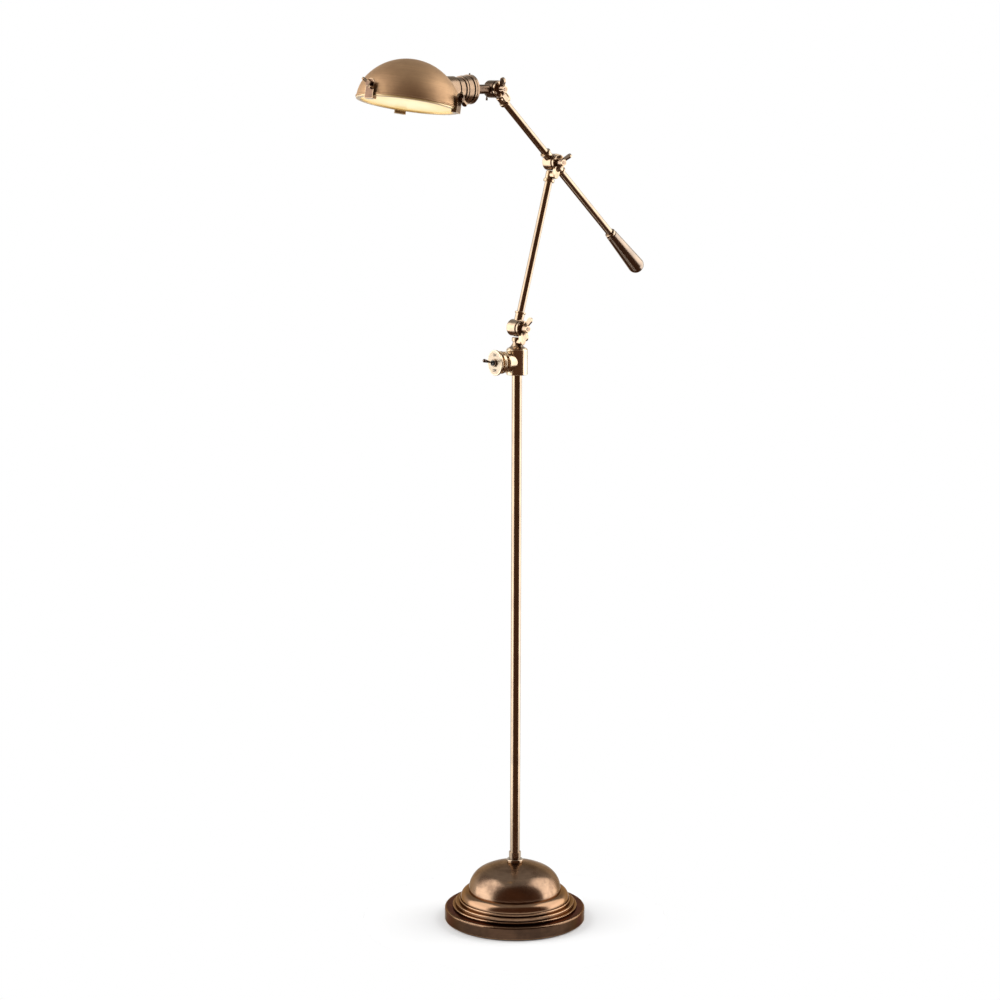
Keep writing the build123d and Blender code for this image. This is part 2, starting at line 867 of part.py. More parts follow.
def lamp_holder():
    """Holder for the bulb, standing on the nipple inside the cup."""
    outline = [
        (0, holder_base),
        (holder_radius, holder_base),
        (holder_radius, holder_shoulder),
        (holder_tip_radius, holder_shoulder),
        (holder_tip_radius, holder_end),
        (bulb_cap_radius + fit_gap, holder_end),
        (bulb_cap_radius + fit_gap, cap_floor),
        (0, cap_floor),
    ]
    return head_frame * turned(outline)


def bulb_cap():
    """Screw cap of the bulb."""
    return head_frame * post(bulb_cap_radius, cap_floor, bulb_base)


def bulb_glass():
    """Thin glass envelope of the bulb, open at its cap."""
    end = bulb_base + bulb_length
    full = bulb_base + bulb_neck_run
    end_round = bulb_radius * tip_round_share
    neck_inner = bulb_neck_radius - bulb_wall
    inner = bulb_radius - bulb_wall
    outline = [
        (neck_inner, bulb_base, 0),
        (bulb_neck_radius, bulb_base, 0),
        (bulb_radius, full, 0),
        (bulb_radius, end, end_round),
        (0, end, 0),
        (0, end - bulb_wall, 0),
        (inner, end - bulb_wall, end_round - bulb_wall),
        (inner, full, 0),
    ]
    return head_frame * turned([(r, z) for r, z, _ in outline], [bend for _, _, bend in outline])


def shade():
    """Spun dome shade with a rolled rim, open to the cup and drilled for the clip screws."""
    shell = dome_solid(shade_radius, shade_height, shade_shoulder)
    shell += turned(
        [(0, 0), (rim_bead_radius, 0), (rim_bead_radius, rim_bead_height), (0, rim_bead_height)],
        [0, rim_bead_round, rim_bead_round, 0],
    )
    shell -= dome_solid(shade_radius - shade_wall, shade_height - shade_wall, shade_shoulder - shade_wall)
    for turn in clip_turns.values():
        shell -= turn * clip_screw_axis * post(clip_screw_radius + fit_gap, 0, 2 * shade_radius)
    opening = post(cup_bore, 0, shade_reach)
    return shade_frame * shell - head_frame * opening


def lens_ring():
    """Flat ring under the rim that carries the lens."""
    outline = [
        (lens_ring_bore, -lens_ring_thickness),
        (shade_radius, -lens_ring_thickness),
        (shade_radius, 0),
        (lens_ring_bore, 0),
    ]
    return shade_frame * turned(outline, [lens_ring_round, lens_ring_round, 0, 0])


def lens_glass():
    """Lens in the mouth of the shade, flat below and crowned above."""
    centre = Vector(0, 0, 0)
    foot = Vector(lens_radius, 0, 0)
    edge_top = Vector(lens_radius, 0, lens_edge)
    top = Vector(0, 0, lens_edge + lens_crown)
    crown = (lens_radius**2 + lens_crown**2) / (2 * lens_crown)
    half_angle = math.asin(lens_radius / crown) / 2
    crown_mid = Vector(crown * math.sin(half_angle), 0, top.Z - crown + crown * math.cos(half_angle))
    edges = [
        Line(centre, foot).edge(),
        Line(foot, edge_top).edge(),
        ThreePointArc(edge_top, crown_mid, top).edge(),
        Line(top, centre).edge(),
    ]
    return shade_frame * revolve(make_face(edges), Axis.Z)


# Clips are drawn on the +X side of the shade and turned to their places
clip_inner = rim_bead_radius + loose_gap
clip_outer = clip_inner + clip_thickness
clip_screw_axis = Pos(0, 0, clip_screw_rise) * Rot(0, 90, 0)


def lens_clips():
    """Three straps that hook under the lens ring."""
    low = -lens_ring_thickness - clip_hook_thickness
    flat = Box(clip_thickness, clip_width, clip_screw_rise - low, align=(Align.MIN, Align.CENTER, Align.MIN))
    strap = Pos(clip_inner, 0, low) * flat
    strap += clip_screw_axis * post(clip_width / 2, clip_inner, clip_outer)
    foot = Box(clip_hook_reach, clip_width, clip_hook_thickness, align=(Align.MAX, Align.CENTER, Align.MIN))
    strap += Pos(clip_outer, 0, low) * foot
    strap -= clip_screw_axis * post(clip_screw_radius + fit_gap, 0, 2 * shade_radius)
    return Compound(children=[shade_frame * turn * strap for turn in clip_turns.values()])


def clip_bosses():
    """Three bosses on the shade that the clip screws turn in."""
    boss = clip_screw_axis * post(clip_boss_radius, shade_radius / 2, clip_inner)
    boss -= dome_solid(shade_radius, shade_height, shade_shoulder)
    boss -= clip_screw_axis * post(clip_screw_radius + fit_gap, 0, 2 * shade_radius)
    return Compound(children=[shade_frame * turn * boss for turn in clip_turns.values()])


def clip_screw(turn):
    """Thumb screw of one clip, with two small wings."""
    seat = clip_outer + face_gap
    shank = post(clip_screw_radius, clip_outer - clip_screw_depth, seat)
    head = round_disc(clip_head_radius, seat, seat + clip_head_height, fin_round)
    blade = wing(clip_wing_reach, clip_wing_tip_round, clip_wing_root_round, clip_wing_rise, clip_wing_thickness)
    wings = Pos(0, 0, seat) * (blade + Rot(0, 0, 180) * blade)
    body = shank + head + wings
    return shade_frame * turn * clip_screw_axis * Rot(0, 0, clip_wing_turn) * body


pieces = {
    "felt_pad": felt_pad(),
    "iron_weight": iron_weight(),
    "base_foot": base_foot(),
    "base_dome": base_dome(),
    "pole_collar": pole_collar(),
    "pole": pole(),
    "base_washer": base_washer(),
    "base_nut": base_nut(),
    "cord_gland": cord_gland(),
    "switch_body": switch_body(),
    "switch_plate": switch_plate(),
    "switch_nut": switch_nut(),
    "switch_case": switch_case(),
    "switch_lever": switch_lever(),
    "neck": neck(),
    "swivel_nut": swivel_nut(),
    "lower_bolt": lower_frame * knuckle_bolt(),
    "lower_washer": lower_frame * friction_washer(),
    "lower_wing_nut": lower_frame * wing_nut(lower_wing_turn),
    "lower_eye": lower_arm_frame * eye_fitting(),
    "lower_tube": lower_tube(),
    "lower_cheek": lower_arm_frame * Pos(0, 0, lower_arm_length) * cheek_fitting(),
    "mid_bolt": mid_frame * knuckle_bolt(),
    "mid_washer": mid_frame * friction_washer(),
    "mid_wing_nut": mid_frame * wing_nut(mid_wing_turn),
    "mid_tee": upper_arm_frame * tee_fitting(),
    "upper_tube": upper_tube(),
    "rear_rod": rear_rod(),
    "grip_collar": grip_collar(),
    "counterweight_grip": counterweight_grip(),
    "upper_cheek": upper_arm_frame * Pos(0, 0, upper_arm_reach) * cheek_fitting(),
    "top_bolt": top_frame * knuckle_bolt(),
    "top_washer": top_frame * friction_washer(),
    "top_wing_nut": top_frame * wing_nut(top_wing_turn),
    "head_eye": head_eye(),
    "socket_cup": socket_cup(),
    "head_screws": head_screws(),
    "lamp_holder": lamp_holder(),
    "bulb_cap": bulb_cap(),
    "bulb_glass": bulb_glass(),
    "shade": shade(),
    "lens_ring": lens_ring(),
    "lens_glass": lens_glass(),
    "lens_clips": lens_clips(),
    "clip_bosses": clip_bosses(),
}
for place, turn in clip_turns.items():
    pieces[f"clip_screw_{place}"] = clip_screw(turn)

for name, piece in pieces.items():
    export_step(piece, f"parts/{name}.step")
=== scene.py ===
"""Antique brass reading floor lamp: finishes, words on the switch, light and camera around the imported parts."""

from __future__ import annotations

import json
import logging
import math
from dataclasses import dataclass
from enum import Enum

import bmesh
import bpy
from mathutils import Matrix, Vector

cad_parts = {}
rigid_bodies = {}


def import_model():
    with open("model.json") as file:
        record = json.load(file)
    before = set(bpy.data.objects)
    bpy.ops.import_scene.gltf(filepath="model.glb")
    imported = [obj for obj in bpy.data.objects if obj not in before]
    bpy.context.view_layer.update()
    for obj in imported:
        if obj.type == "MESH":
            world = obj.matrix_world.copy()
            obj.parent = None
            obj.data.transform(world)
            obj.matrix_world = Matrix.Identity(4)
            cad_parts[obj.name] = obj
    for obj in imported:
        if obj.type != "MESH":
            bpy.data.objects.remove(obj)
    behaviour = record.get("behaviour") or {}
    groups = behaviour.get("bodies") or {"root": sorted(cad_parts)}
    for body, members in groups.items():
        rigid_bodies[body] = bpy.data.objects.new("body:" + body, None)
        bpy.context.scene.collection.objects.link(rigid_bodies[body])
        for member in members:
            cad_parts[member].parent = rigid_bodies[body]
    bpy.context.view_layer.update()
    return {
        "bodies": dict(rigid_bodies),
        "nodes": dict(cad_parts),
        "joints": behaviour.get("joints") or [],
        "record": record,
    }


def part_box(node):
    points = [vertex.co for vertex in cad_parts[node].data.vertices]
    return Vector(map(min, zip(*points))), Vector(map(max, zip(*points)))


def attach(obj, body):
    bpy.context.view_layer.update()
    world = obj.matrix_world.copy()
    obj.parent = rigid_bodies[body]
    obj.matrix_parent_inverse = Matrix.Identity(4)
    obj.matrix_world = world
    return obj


LOG = logging.getLogger("floor_lamp")
MERGE_DISTANCE = 1e-7

Colour = tuple[float, float, float]
Point = tuple[float, float, float]
Span = tuple[float, float]

WHITE = (1.0, 1.0, 1.0)
UP = (0.0, 0.0, 1.0)


class Grain(Enum):
    """How fast the fine lines of polishing change along X, Y and Z of a piece's own axes."""

    NONE = (0.0, 0.0, 0.0)
    AROUND = (0.016, 0.016, 1.0)
    ALONG = (1.0, 1.0, 0.008)


class LampRole(Enum):
    """Job of each soft light in the studio."""

    LEFT = "left"
    RIGHT = "right"


class Kind(Enum):
    """What a socket of a node group carries."""

    COLOUR = "NodeSocketColor"
    NUMBER = "NodeSocketFloat"
    VECTOR = "NodeSocketVector"


# Shader helpers


def feed(tree: bpy.types.NodeTree, value: object, target: bpy.types.NodeSocket) -> None:
    """Links another node's socket to an input, or sets a constant on it.

    Args:
        tree: Node tree of both.
        value: The socket or the constant.
        target: The input.
    """
    if isinstance(value, bpy.types.NodeSocket):
        tree.links.new(value, target)
    else:
        target.default_value = value


def feed_all(tree: bpy.types.NodeTree, node: bpy.types.Node, inputs: dict[str | int, object]) -> None:
    """Feeds several inputs of one node.

    Args:
        tree: Node tree of the node.
        node: The node.
        inputs: Socket or constant for each input, by its name or number.
    """
    for key, value in inputs.items():
        feed(tree, value, node.inputs[key])


def new_node(
    tree: bpy.types.NodeTree, kind: str, inputs: dict[str | int, object] | None = None, **settings: object
) -> bpy.types.Node:
    """Adds a node, sets its properties and feeds its inputs.

    Args:
        tree: Node tree that gets the node.
        kind: Blender's name of the node's type.
        inputs: Socket or constant for each input.
        settings: Properties to set on it.

    Returns:
        The new node.
    """
    node = tree.nodes.new(kind)
    for name, value in settings.items():
        setattr(node, name, value)
    feed_all(tree, node, inputs or {})
    return node


def arithmetic(tree: bpy.types.NodeTree, operation: str, *values: object) -> bpy.types.NodeSocket:
    """Adds a sum on sockets and constants.

    Args:
        tree: Node tree that gets the node.
        operation: Blender's name of the sum.
        values: What goes in, in order.

    Returns:
        The socket with the result.
    """
    return new_node(tree, "ShaderNodeMath", dict(enumerate(values)), operation=operation).outputs["Value"]


def soft_step(
    tree: bpy.types.NodeTree, source: bpy.types.NodeSocket, edge: Span, full: float = 1.0
) -> bpy.types.NodeSocket:
    """Adds a soft step that starts at 0.

    Args:
        tree: Node tree that gets the node.
        source: Value that steps.
        edge: Values at which the step starts and ends.
        full: Height of the step.

    Returns:
        The socket with the step.
    """
    inputs = {"Value": source, "From Min": edge[0], "From Max": edge[1], "To Max": full}
    return new_node(tree, "ShaderNodeMapRange", inputs, interpolation_type="SMOOTHSTEP").outputs["Result"]


def mix_colours(
    tree: bpy.types.NodeTree, factor: bpy.types.NodeSocket, first: object, second: object
) -> bpy.types.NodeSocket:
    """Adds a blend of two colours.

    Args:
        tree: Node tree that gets the node.
        factor: Share of the second colour.
        first: A colour or a socket.
        second: A colour or a socket.

    Returns:
        The socket with the blend.
    """
    ends = [rgba(end) if isinstance(end, tuple) else end for end in (first, second)]
    inputs = {"Factor": factor, "A": ends[0], "B": ends[1]}
    return new_node(tree, "ShaderNodeMix", inputs, data_type="RGBA").outputs["Result"]


def mirrored_rays(tree: bpy.types.NodeTree, rays: bpy.types.Node) -> bpy.types.NodeSocket:
    """Marks the rays by which metal and glass see something.

    Args:
        tree: Node tree of the surround or the floor.
        rays: Its Light Path node.

    Returns:
        The socket with the mark.
    """
    return arithmetic(tree, "MAXIMUM", rays.outputs["Is Glossy Ray"], rays.outputs["Is Transmission Ray"])


def new_group(name: str, inputs: dict[str, Kind], outputs: dict[str, Kind]) -> bpy.types.NodeTree:
    """Starts a shader node group with named sockets.

    Args:
        name: Name of the group.
        inputs: What each input carries.
        outputs: What each output carries.

    Returns:
        The group, with its input and output nodes in place.
    """
    group = bpy.data.node_groups.new(name, "ShaderNodeTree")
    for in_out, sockets in (("INPUT", inputs), ("OUTPUT", outputs)):
        for socket, kind in sockets.items():
            group.interface.new_socket(socket, in_out=in_out, socket_type=kind.value)
    group.nodes.new("NodeGroupInput")
    group.nodes.new("NodeGroupOutput")
    return group


def new_material(name: str) -> tuple[bpy.types.Material, bpy.types.NodeTree, bpy.types.Node]:
    """Starts a material.

    Args:
        name: Name of the material.

    Returns:
        The material, its node tree and its shader.
    """
    made = bpy.data.materials.new(name)
    made.use_nodes = True
    return made, made.node_tree, made.node_tree.nodes["Principled BSDF"]


def rgba(colour: Colour) -> tuple[float, float, float, float]:
    """Adds a full alpha to a colour."""
    return (*colour, 1.0)


@dataclass
class Effects:
    """Surface effects that several finishes share, each built once as a node group."""

    patch_detail: float = 5.0
    patch_break_up: float = 0.62
    patch_edge: Span = (0.36, 0.68)
    patch_dulling: float = 0.12
    line_detail: float = 3.0
    line_middle: float = 0.5
    shelter_samples: int = 8
    groove_openness: Span = (0.92, 0.45)
    edge_openness: Span = (0.96, 0.7)

    def __post_init__(self) -> None:
        """Builds the groups."""
        self.tarnish = self.build_tarnish()
        self.polish_lines = self.build_polish_lines()
        # Painted shade in grooves and corners, together with dark wax, found by occlusion
        self.wax_and_groove_shade = self.build_shelter("wax_and_groove_shade", "WaxAndShade", False, self.groove_openness)
        self.rubbed = self.build_shelter("rubbed_edges", "Metal", True, self.edge_openness)

    def build_tarnish(self) -> bpy.types.NodeTree:
        """Builds soft dark patches of old metal.

        Returns:
            A group that puts out a colour and a roughness.
        """
        group = new_group(
            "tarnish",
            {
                "Vector": Kind.VECTOR,
                "Metal": Kind.COLOUR,
                "Dark": Kind.COLOUR,
                "Share": Kind.NUMBER,
                "Patches": Kind.NUMBER,
                "Roughness": Kind.NUMBER,
            },
            {"Color": Kind.COLOUR, "Roughness": Kind.NUMBER},
        )
        given = group.nodes["Group Input"].outputs
        cloud = new_node(
            group,
            "ShaderNodeTexNoise",
            {
                "Vector": given["Vector"],
                "Scale": given["Patches"],
                "Detail": self.patch_detail,
                "Roughness": self.patch_break_up,
            },
        )
        spread = soft_step(group, cloud.outputs["Fac"], self.patch_edge)
        amount = arithmetic(group, "MULTIPLY", spread, given["Share"])
        feed_all(
            group,
            group.nodes["Group Output"],
            {
                "Color": mix_colours(group, amount, given["Metal"], given["Dark"]),
                "Roughness": arithmetic(group, "MULTIPLY_ADD", amount, self.patch_dulling, given["Roughness"]),
            },
        )
        return group

    def build_polish_lines(self) -> bpy.types.NodeTree:
        """Builds fine lines by stretching a noise along or around a piece.

        Returns:
            A group that puts out a tinted colour and a height for a bump.
        """
        group = new_group(
            "polish_lines",
            {"Vector": Kind.VECTOR, "Stretch": Kind.VECTOR, "Color": Kind.COLOUR, "Tint": Kind.NUMBER},
            {"Color": Kind.COLOUR, "Height": Kind.NUMBER},
        )
        given = group.nodes["Group Input"].outputs
        stretched = new_node(
            group, "ShaderNodeVectorMath", {0: given["Vector"], 1: given["Stretch"]}, operation="MULTIPLY"
        )
        lines = new_node(
            group,
            "ShaderNodeTexNoise",
            {"Vector": stretched.outputs["Vector"], "Scale": 1.0, "Detail": self.line_detail},
        )
        centred = arithmetic(group, "SUBTRACT", lines.outputs["Fac"], self.line_middle)
        gain = arithmetic(group, "MULTIPLY_ADD", centred, given["Tint"], 1.0)
        tinted = new_node(group, "ShaderNodeVectorMath", {0: given["Color"], "Scale": gain}, operation="SCALE")
        feed_all(
            group,
            group.nodes["Group Output"],
            {"Color": tinted.outputs["Vector"], "Height": lines.outputs["Fac"]},
        )
        return group

    def build_shelter(self, name: str, tone: str, inside: bool, openness: Span) -> bpy.types.NodeTree:
        """Builds a tone from occlusion: in grooves and corners it is painted shade together with dark wax, and on
        edges, where it looks inside the metal, it is rubbed wear.

        Args:
            name: Name of the group.
            tone: Name of the input that takes the tone.
            inside: Whether the tone lies on edges instead of in grooves.
            openness: Openness at which the tone starts, and at which it is full.

        Returns:
            A group that puts out a colour.
        """
        group = new_group(
            name,
            {"Color": Kind.COLOUR, tone: Kind.COLOUR, "Reach": Kind.NUMBER, "Share": Kind.NUMBER},
            {"Color": Kind.COLOUR},
        )
        given = group.nodes["Group Input"].outputs
        open_sky = new_node(
            group,
            "ShaderNodeAmbientOcclusion",
            {"Distance": given["Reach"]},
            samples=self.shelter_samples,
            only_local=True,
            inside=inside,
        )
        amount = arithmetic(group, "MULTIPLY", soft_step(group, open_sky.outputs["AO"], openness), given["Share"])
        toned = mix_colours(group, amount, given["Color"], given[tone])
        feed_all(group, group.nodes["Group Output"], {"Color": toned})
        return group


# Finishes


@dataclass(frozen=True)
class BrassFinish:
    """Old lacquered brass: warm metal with darker patches, painted shade with dark wax in its grooves, fine polish
    lines, rubbed edges, and where asked a lighter band that is a painted reflection.
    """

    name: str
    metal: Colour
    dark: Colour
    roughness: float
    dark_share: float = 0.5
    patches: float = 34.0
    grain: Grain = Grain.NONE
    lines: float = 900.0
    tint: float = 0.25
    relief: float = 0.00002
    relief_strength: float = 0.35
    centre: Point = (0.0, 0.0, 0.0)
    axis: Point = UP
    lacquer: float = 0.9
    lacquer_ior: float = 1.9
    edge: Colour = (1.0, 0.9, 0.75)
    metallic: float = 1.0
    # Painted shade together with dark wax, in grooves and corners
    wax_and_shade: Colour = (0.022, 0.011, 0.005)
    wax_and_shade_reach: float = 0.004
    wax_and_shade_share: float = 0.75
    rub: Colour = (0.6, 0.44, 0.26)
    rub_reach: float = 0.0015
    rub_share: float = 0.0
    # Painted reflection: lighter metal above a height, standing in for the side lights mirrored in the foot's upper
    # steps
    painted_reflection: Colour = (0.34, 0.2, 0.115)
    painted_reflection_rise: Span = (0.0, 0.0)
    painted_reflection_share: float = 0.0

    def material(self, effects: Effects) -> bpy.types.Material:
        """Builds the finish as a material.

        Args:
            effects: The shared node groups.

        Returns:
            The material.
        """
        made, tree, shader = new_material(self.name)
        place = new_node(tree, "ShaderNodeTexCoord").outputs["Object"]
        turn = Vector(self.axis).to_track_quat("Z", "Y").to_euler()
        local = new_node(
            tree,
            "ShaderNodeMapping",
            {"Vector": place, "Location": self.centre, "Rotation": turn},
            vector_type="TEXTURE",
        ).outputs["Vector"]
        patina = new_node(
            tree,
            "ShaderNodeGroup",
            {
                "Vector": local,
                "Metal": rgba(self.metal),
                "Dark": rgba(self.dark),
                "Share": self.dark_share,
                "Patches": self.patches,
                "Roughness": self.roughness,
            },
            node_tree=effects.tarnish,
        )
        streaks = new_node(
            tree,
            "ShaderNodeGroup",
            {
                "Vector": local,
                "Stretch": [self.lines * part for part in self.grain.value],
                "Color": patina.outputs["Color"],
                "Tint": self.tint,
            },
            node_tree=effects.polish_lines,
        )
        colour = streaks.outputs["Color"]
        # Painted reflection: lighter metal above the given height
        if self.painted_reflection_share:
            height = new_node(tree, "ShaderNodeSeparateXYZ", {"Vector": place}).outputs["Z"]
            colour = mix_colours(tree, soft_step(tree, height, self.painted_reflection_rise, self.painted_reflection_share), colour, self.painted_reflection)
        # Painted shade with dark wax in grooves and corners, found by occlusion
        colour = new_node(
            tree,
            "ShaderNodeGroup",
            {"Color": colour, "WaxAndShade": rgba(self.wax_and_shade), "Reach": self.wax_and_shade_reach, "Share": self.wax_and_shade_share},
            node_tree=effects.wax_and_groove_shade,
        ).outputs["Color"]
        if self.rub_share:
            colour = new_node(
                tree,
                "ShaderNodeGroup",
                {"Color": colour, "Metal": rgba(self.rub), "Reach": self.rub_reach, "Share": self.rub_share},
                node_tree=effects.rubbed,
            ).outputs["Color"]
        bump = new_node(
            tree,
            "ShaderNodeBump",
            {"Strength": self.relief_strength, "Distance": self.relief, "Height": streaks.outputs["Height"]},
        )
        feed_all(
            tree,
            shader,
            {
                "Base Color": colour,
                "Roughness": patina.outputs["Roughness"],
                "Metallic": self.metallic,
                "Specular Tint": rgba(self.edge),
                "Coat Weight": self.lacquer,
                "Coat IOR": self.lacquer_ior,
                "Coat Roughness": self.roughness,
                "Normal": bump.outputs["Normal"],
            },
        )
        return made


@dataclass(frozen=True)
class PlainFinish:
    """One even surface, such as rubber, felt, iron or moulded plastic."""

    name: str
    colour: Colour
    roughness: float
    metallic: float = 0.0
    speckle: float = 0.3
    speckle_size: float = 900.0
    speckle_tone: float = 0.5

    def material(self, effects: Effects) -> bpy.types.Material:
        """Builds the finish as a material.

        Args:
            effects: The shared node groups.

        Returns:
            The material.
        """
        made, tree, shader = new_material(self.name)
        patina = new_node(
            tree,
            "ShaderNodeGroup",
            {
                "Vector": new_node(tree, "ShaderNodeTexCoord").outputs["Object"],
                "Metal": rgba(self.colour),
                "Dark": rgba(tuple(self.speckle_tone * part for part in self.colour)),
                "Share": self.speckle,
                "Patches": self.speckle_size,
                "Roughness": self.roughness,
            },
            node_tree=effects.tarnish,
        )
        feed_all(
            tree,
            shader,
            {
                "Base Color": patina.outputs["Color"],
                "Roughness": patina.outputs["Roughness"],
                "Metallic": self.metallic,
            },
        )
        return made


@dataclass(frozen=True)
class GlowFinish:
    """Glass that glows, paler in the middle and golden towards its rim: on the bulb its own light, on the lens painted
    light that stands in for the bulb shining through.
    """

    name: str
    colour: Colour
    middle: Colour
    rim: Colour
    strength: float
    transmission: float
    roughness: float
    ior: float = 1.45
    centre: Point = (0.0, 0.0, 0.0)
    reach: float = 0.08
    fade: Span = (0.5, 1.35)
    ripples: float = 60.0
    ripple_detail: float = 2.0
    ripple_share: float = 0.7

    def material(self, effects: Effects) -> bpy.types.Material:
        """Builds the finish as a material, which needs none of the shared effects.

        Args:
            effects: The shared node groups; not used.

        Returns:
            The material.
        """
        made, tree, shader = new_material(self.name)
        place = new_node(tree, "ShaderNodeTexCoord").outputs["Object"]
        local = new_node(
            tree, "ShaderNodeMapping", {"Vector": place, "Location": self.centre}, vector_type="TEXTURE"
        ).outputs["Vector"]
        from_middle = new_node(tree, "ShaderNodeVectorMath", {0: local}, operation="LENGTH").outputs["Value"]
        cloud = new_node(
            tree, "ShaderNodeTexNoise", {"Vector": local, "Scale": self.ripples, "Detail": self.ripple_detail}
        ).outputs["Fac"]
        rippled = arithmetic(tree, "MULTIPLY_ADD", cloud, self.ripple_share * self.reach, from_middle)
        start, end = (share * self.reach for share in self.fade)
        feed_all(
            tree,
            shader,
            {
                "Base Color": rgba(self.colour),
                "Roughness": self.roughness,
                "Transmission Weight": self.transmission,
                "IOR": self.ior,
                "Emission Color": mix_colours(tree, soft_step(tree, rippled, (start, end)), self.middle, self.rim),
                "Emission Strength": self.strength,
            },
        )
        return made


Finish = BrassFinish | PlainFinish | GlowFinish

BRONZE = (0.32, 0.212, 0.112)
BRONZE_DARK = (0.1, 0.05, 0.019)
WARM_BRASS = (0.45, 0.268, 0.134)
WARM_BRASS_DARK = (0.29, 0.158, 0.074)
DRAWN_RELIEF = 0.000008


# Sub-assemblies


@dataclass
class Assembly:
    """Pieces of the lamp that are dressed together."""

    frame: dict
    effects: Effects

    def joint(self, name: str) -> dict:
        """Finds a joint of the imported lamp.

        Args:
            name: Name of the joint.

        Returns:
            The joint's entry in the record.
        """
        return next(joint for joint in self.frame["joints"] if joint["name"] == name)

    def dress(self, finish: Finish, *names: str) -> None:
        """Gives one finish to several CAD nodes.

        Args:
            finish: The finish.
            names: Names of the nodes.
        """
        material = finish.material(self.effects)
        for name in names:
            slots = self.frame["nodes"][name].data.materials
            slots.clear()
            slots.append(material)
            LOG.info("%s: %s", name, finish.name)

    def add_piece(self, name: str, mesh: bmesh.types.BMesh, finish: Finish, body: str) -> None:
        """Turns a bmesh into a piece that rides on a CAD body.

        Args:
            name: Name of the piece.
            mesh: Its shape, in the lamp's frame.
            finish: Its finish.
            body: Name of the CAD body it moves with.
        """
        bmesh.ops.remove_doubles(mesh, verts=mesh.verts, dist=MERGE_DISTANCE)
        bmesh.ops.recalc_face_normals(mesh, faces=mesh.faces)
        data = bpy.data.meshes.new(name)
        mesh.to_mesh(data)
        mesh.free()
        data.materials.append(finish.material(self.effects))
        piece = bpy.data.objects.new(name, data)
        bpy.context.scene.collection.objects.link(piece)
        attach(piece, body)
        LOG.info("%s rides on %s", name, body)


@dataclass
class Base(Assembly):
    """Felt, weight, stepped plinth, dome and the straight pole."""

    # The foot's upper steps are lighter as a painted reflection of the side lights
    foot_brass: BrassFinish = BrassFinish(
        "foot_bronze", metal=(0.09, 0.045, 0.023), dark=(0.032, 0.015, 0.007), roughness=0.18, dark_share=0.7,
        patches=30.0, grain=Grain.AROUND, tint=0.5, lacquer=0.1, edge=(0.55, 0.4, 0.28),
        rub=(0.62, 0.39, 0.23), rub_reach=0.002, rub_share=0.8, painted_reflection_rise=(0.0245, 0.0285), painted_reflection_share=0.8,
    )
    dome_brass: BrassFinish = BrassFinish(
        "dome_bronze", metal=(0.295, 0.187, 0.117), dark=(0.105, 0.056, 0.033), roughness=0.2, dark_share=0.7,
        grain=Grain.AROUND, tint=0.5, lacquer=0.12, edge=(0.57, 0.45, 0.34),
    )
    pole_brass: BrassFinish = BrassFinish(
        "pole_bronze", metal=BRONZE, dark=BRONZE_DARK, roughness=0.16, dark_share=0.35, patches=30.0,
        grain=Grain.ALONG, tint=0.2, relief=DRAWN_RELIEF,
    )
    felt: PlainFinish = PlainFinish("felt", (0.05, 0.045, 0.04), roughness=0.95, speckle=0.7, speckle_size=1500.0)
    iron: PlainFinish = PlainFinish(
        "cast_iron", (0.07, 0.068, 0.065), roughness=0.75, metallic=0.6, speckle=0.6, speckle_size=300.0
    )
    steel: PlainFinish = PlainFinish(
        "turned_steel", (0.42, 0.41, 0.39), roughness=0.35, metallic=1.0, speckle_size=120.0
    )
    rubber: PlainFinish = PlainFinish("gland_rubber", (0.03, 0.026, 0.022), roughness=0.6, speckle_size=400.0)

    def build(self) -> None:
        """Dresses the base's nodes."""
        self.dress(self.foot_brass, "base_foot")
        self.dress(self.dome_brass, "base_dome")
        self.dress(self.pole_brass, "pole", "pole_collar")
        self.dress(self.felt, "felt_pad")
        self.dress(self.iron, "iron_weight")
        self.dress(self.steel, "base_washer", "base_nut", "swivel_nut")
        self.dress(self.rubber, "cord_gland")


